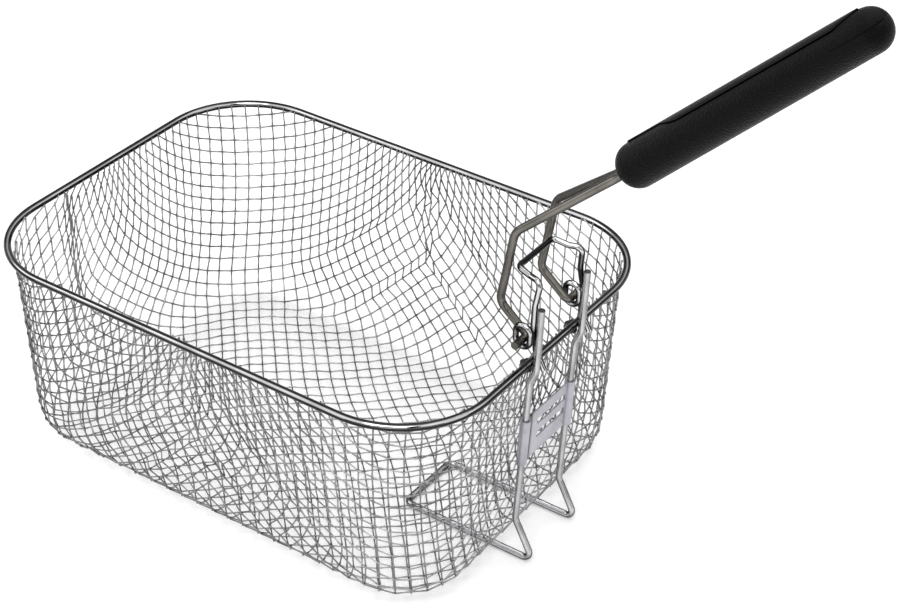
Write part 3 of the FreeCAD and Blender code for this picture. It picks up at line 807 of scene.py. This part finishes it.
    def build(self) -> bpy.types.Object:
        """Make the woven wire as one piece.

        Returns:
            The piece.
        """
        self.draw()
        data = bpy.data.curves.new("woven_wire", "CURVE")
        data.dimensions = "3D"
        data.bevel_depth = self.wire / 2 * MM
        data.bevel_resolution = 1
        data.use_fill_caps = True
        for strand in self.strands():
            count = len(strand) * 2 - 1
            spline = data.splines.new("POLY")
            spline.points.add(count - 1)
            flat = np.ones((count, 4))
            flat[::2, :3] = strand * MM
            flat[1::2, :3] = (strand[1:] + strand[:-1]) / 2 * MM
            spline.points.foreach_set("co", flat.ravel())
            thick = np.full(count, self.slim)
            thick[::2] = self.knot
            spline.points.foreach_set("radius", thick)
        source = bpy.data.objects.new("woven_source", data)
        bpy.context.scene.collection.objects.link(source)
        graph = bpy.context.evaluated_depsgraph_get()
        mesh = bpy.data.meshes.new_from_object(source.evaluated_get(graph))
        bpy.data.objects.remove(source)
        piece = bpy.data.objects.new("woven_wire", mesh)
        bpy.context.scene.collection.objects.link(piece)
        mesh.materials.clear()
        mesh.materials.append(make_material(MESH))
        mesh.polygons.foreach_set("use_smooth", [True] * len(mesh.polygons))
        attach(piece, "basket")
        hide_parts("mesh_basket")
        log.info("woven wire: %d faces", len(mesh.polygons))
        return piece


def place_mesh(shape: bmesh.types.BMesh, name: str, finish: Finish, body: str) -> bpy.types.Object:
    """Turn a bmesh into a finished piece that rides a body.

    Args:
        shape: the bmesh, freed here.
        name: name of the piece.
        finish: its finish.
        body: the body it rides.

    Returns:
        The piece.
    """
    mesh = bpy.data.meshes.new(name)
    shape.to_mesh(mesh)
    shape.free()
    mesh.materials.append(make_material(finish))
    mesh.polygons.foreach_set("use_smooth", [True] * len(mesh.polygons))
    piece = bpy.data.objects.new(name, mesh)
    bpy.context.scene.collection.objects.link(piece)
    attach(piece, body)
    log.info("%s: %d faces", name, len(mesh.polygons))
    return piece


@dataclass
class Grip:
    """The moulded grip: a round bar with its cover strip, a black strip of painted groove shade, and parting
    line. Sizes in mm.

    Args:
        start: x and z of the fork end on the bar's axis.
        angle: slope in degrees.
        length: length of the bar.
        front_radius: radius at the fork end.
        back_radius: radius at the free end.
        front_round: rounding of the fork end.
        back_round: rounding of the free end.
        cover_tip: start of the cover's thin tip along the bar.
        cover_start: where the cover widens.
        cover_end: end of the cover.
        cover_half: half the width of the cover.
        cover_thin: half width where the thin tip meets the cover.
        cover_proud: how far the cover stands out of the bar.
        cover_thick: thickness of the strip.
        turns: steps in which the bar is spun.
    """

    start: tuple[float, float] = (159.3, 97.6)
    angle: float = 44.25
    length: float = 142.0
    front_radius: float = 9.9
    back_radius: float = 8.9
    front_round: float = 8.0
    back_round: float = 8.4
    cover_tip: float = 10.0
    cover_start: float = 30.0
    cover_end: float = 134.0
    cover_half: float = 5.0
    cover_thin: float = 1.25
    cover_proud: float = 0.7
    cover_thick: float = 1.6
    turns: int = 64

    def radius(self, along: float) -> float:
        """Radius of the bar at a place along it.

        Args:
            along: distance from the fork end.

        Returns:
            The radius.
        """
        share = along / self.length
        full = self.front_radius + (self.back_radius - self.front_radius) * share
        if along < self.front_round:
            left = self.front_round - along
            return full - self.front_round + math.sqrt(max(self.front_round ** 2 - left ** 2, 0.0))
        if along > self.length - self.back_round:
            left = along - self.length + self.back_round
            return full - self.back_round + math.sqrt(max(self.back_round ** 2 - left ** 2, 0.0))
        return full

    def seat(self, shape: bmesh.types.BMesh) -> None:
        """Turn and move a mesh made along X to where the grip sits.

        Args:
            shape: the bmesh, in mm.
        """
        turn = Matrix.Rotation(-math.radians(self.angle), 4, "Y")
        move = Matrix.Translation(Vector((self.start[0], 0.0, self.start[1])) * MM)
        bmesh.ops.transform(shape, matrix=move @ turn @ Matrix.Scale(MM, 4), verts=shape.verts)

    def bar(self) -> bpy.types.Object:
        """Spin the bar.

        Returns:
            The piece.
        """
        shape = bmesh.new()
        steps = [self.front_round * (1 - math.cos(a * math.pi / 24)) for a in range(13)]
        straight = self.length - self.front_round - self.back_round
        steps += [self.front_round + straight * a / 12 for a in range(1, 12)]
        steps += [self.length - self.back_round * (1 - math.sin(a * math.pi / 24)) for a in range(13)]
        rim = [shape.verts.new((along, 0.0, max(self.radius(along), 0.0))) for along in steps]
        shape.verts.ensure_lookup_table()
        first = shape.verts.new((steps[0], 0.0, 0.0))
        last = shape.verts.new((steps[-1], 0.0, 0.0))
        chain = [first, *rim, last]
        edges = [shape.edges.new(pair) for pair in zip(chain[:-1], chain[1:])]
        bmesh.ops.spin(
            shape, geom=chain + edges, cent=(0, 0, 0), axis=(1, 0, 0), dvec=(0, 0, 0), angle=2 * math.pi,
            steps=self.turns, use_merge=True, use_duplicate=False)
        bmesh.ops.remove_doubles(shape, verts=shape.verts, dist=0.001)
        bmesh.ops.recalc_face_normals(shape, faces=shape.faces)
        self.seat(shape)
        piece = place_mesh(shape, "grip_bar", GRIP, "handle")
        self.score(piece.data.materials[0])
        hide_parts("grip_body")
        return piece

    def score(self, material: bpy.types.Material) -> None:
        """Score the mould's parting line round the free end.

        Args:
            material: the bar's material.
        """
        tree = material.node_tree
        shader = tree.nodes["Principled BSDF"]
        turn = math.radians(self.angle)
        start = Vector((self.start[0], 0.0, self.start[1])) * MM
        along = Vector((math.cos(turn), 0.0, math.sin(turn)))
        across = Vector((-math.sin(turn), 0.0, math.cos(turn)))
        place = add_node(tree, "ShaderNodeTexCoord")
        reach = add_node(
            tree, "ShaderNodeVectorMath", {0: place.outputs["Object"], 1: tuple(along)},
            operation="DOT_PRODUCT")
        height = add_node(
            tree, "ShaderNodeVectorMath", {0: place.outputs["Object"], 1: tuple(across)},
            operation="DOT_PRODUCT")
        lift = add_node(
            tree, "ShaderNodeMath", {0: height.outputs["Value"], 1: start.dot(across) + 0.0012},
            operation="SUBTRACT")
        gap = add_node(tree, "ShaderNodeMath", {0: lift.outputs[0]}, operation="ABSOLUTE")
        line = add_node(
            tree, "ShaderNodeMapRange",
            {"Value": gap.outputs[0], "From Min": 0.0001, "From Max": 0.0007, "To Min": 0.0, "To Max": 1.0})
        end = start.dot(along) + (self.length - 22.0) * MM
        off = add_node(
            tree, "ShaderNodeMath", {0: reach.outputs["Value"], 1: end}, operation="LESS_THAN")
        depth = add_node(
            tree, "ShaderNodeMath", {0: line.outputs["Result"], 1: off.outputs[0]}, operation="MAXIMUM")
        old = shader.inputs["Normal"].links[0].from_node
        groove = add_node(
            tree, "ShaderNodeBump",
            {"Height": depth.outputs[0], "Strength": 1.0, "Distance": 0.004, "Normal": old.outputs["Normal"]})
        tree.links.new(groove.outputs["Normal"], shader.inputs["Normal"])

    def half_width(self, along: float) -> float:
        """Half the width of the cover strip at a place along the bar.

        Args:
            along: distance from the fork end.

        Returns:
            The half width.
        """
        if along < self.cover_start:
            return 0.35 + 0.9 * (along - self.cover_tip) / (self.cover_start - self.cover_tip)
        near = min((along - self.cover_start) / 12.0, 1.0)
        far = min(max((self.cover_end - along) / 11.0, 0.0), 1.0)
        full = self.cover_thin + (self.cover_half - self.cover_thin) * math.sin(near * math.pi / 2)
        return full * max(far ** 0.8, 0.03)

    def strip(self, name: str, finish: Finish, proud: float, wider: float, longer: float) -> bpy.types.Object:
        """Lay a strip over the top of the bar.

        Args:
            name: name of the piece.
            finish: its finish.
            proud: how far it stands out of the bar.
            wider: what is added to its half width.
            longer: what is added at each end.

        Returns:
            The piece.
        """
        shape = bmesh.new()
        bmesh.ops.create_grid(shape, x_segments=90, y_segments=8, size=0.5)
        first = self.cover_tip - longer
        last = self.cover_end + longer
        for vert in shape.verts:
            along = first + (last - first) * (vert.co.x + 0.5)
            inner = min(max(along, self.cover_tip), self.cover_end)
            side = 2 * vert.co.y * (self.half_width(inner) + wider)
            out = self.radius(along) + proud * (1.0 - 0.35 * abs(2 * vert.co.y) ** 4)
            vert.co = (along, side, math.sqrt(max(out * out - side * side, 0.01)))
        bmesh.ops.recalc_face_normals(shape, faces=shape.faces)
        bmesh.ops.solidify(shape, geom=shape.faces[:], thickness=self.cover_thick)
        bmesh.ops.recalc_face_normals(shape, faces=shape.faces)
        self.seat(shape)
        return place_mesh(shape, name, finish, "handle")

    def build(self) -> None:
        """Make the whole grip."""
        self.bar()
        cover = self.strip("grip_cover_strip", COVER, self.cover_proud, 0.0, 0.0)
        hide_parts("grip_cover")
        # A matt black strip, wider and longer than the cover: painted shade of the groove round it.
        self.strip("grip_groove_shade", GROOVE_SHADE, 0.12, 0.55, 0.6)


@dataclass
class Joints:
    """Weld beads where wires cross, and the dark cut ends of the uprights. Sizes in mm.

    Args:
        upright_y: uprights, from the middle plane.
        upright_rise: cut ends of the uprights above the rim.
        frame_wire: diameter of the frame wire.
        cap: thickness of the dark cut.
    """

    upright_y: float = 18.5
    upright_rise: float = 29.5
    frame_wire: float = 3.2
    cap: float = 0.5

    def bead_at(self, shape: bmesh.types.BMesh, place: tuple, stretch: tuple, seed: float) -> None:
        """Add one weld bead.

        Args:
            shape: the bmesh to add to.
            place: its middle.
            stretch: its three half sizes.
            seed: a number that varies its lumps.
        """
        made = bmesh.ops.create_icosphere(shape, subdivisions=3, radius=1.0)["verts"]
        for vert in made:
            lump = 1.0 + 0.14 * math.sin(5 * vert.co.x + seed) * math.cos(4 * vert.co.y - seed)
            lump += 0.1 * math.sin(7 * vert.co.z + 2 * seed)
            vert.co = Vector(
                [(c + v * r * lump) * MM for c, v, r in zip(place, vert.co, stretch)])

    def build(self, frame_mesh: bpy.types.Mesh) -> None:
        """Make the beads and the cut ends.

        Args:
            frame_mesh: mesh of the support frame.
        """
        shape = bmesh.new()
        for side in (-1, 1):
            self.bead_at(shape, (127.6, side * (self.upright_y - 0.5), -1.6), (2.5, 2.9, 2.3), side * 1.3)
            self.bead_at(shape, (129.6, side * (self.upright_y - 0.3), -3.0), (1.6, 2.2, 1.9), side * 2.1)
        place_mesh(shape, "weld_beads", WELD, "basket")
        shape = bmesh.new()
        for side in (-1, 1):
            tops = [
                v.co for v in frame_mesh.vertices
                if v.co.z > (self.upright_rise - 0.4) * MM and v.co.y * side > 0]
            middle = Vector([sum(co[i] for co in tops) / len(tops) for i in range(3)])
            bmesh.ops.create_cone(
                shape, cap_ends=True, segments=24, radius1=self.frame_wire / 2 * 0.99 * MM,
                radius2=self.frame_wire / 2 * 0.92 * MM, depth=self.cap * MM, matrix=Matrix.Translation(middle))
        place_mesh(shape, "cut_ends", CUT, "basket")


def dress(frame: dict) -> None:
    """Give the solids their finishes.
    """
    finishes = {
        "rim_ring": RIM, "support_frame": FRAME, "latch_bail": BAIL, "slotted_plate": PLATE,
        "handle_fork": FORK, "grip_body": GRIP, "grip_cover": COVER, "mesh_basket": MESH,
    }
    for name, finish in finishes.items():
        obj = frame["nodes"][name]
        obj.data.materials.clear()
        obj.data.materials.append(make_material(finish))
        log.info("dressed %s", name)


def main() -> None:
    """Build the scene."""
    logging.basicConfig(level=logging.INFO, format="%(name)s: %(message)s")
    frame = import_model()
    dress(frame)
    WovenBowl().build()
    Grip().build()
    Joints().build(frame["nodes"]["support_frame"].data)
    Studio().build()


if __name__ == "__main__":
    main()
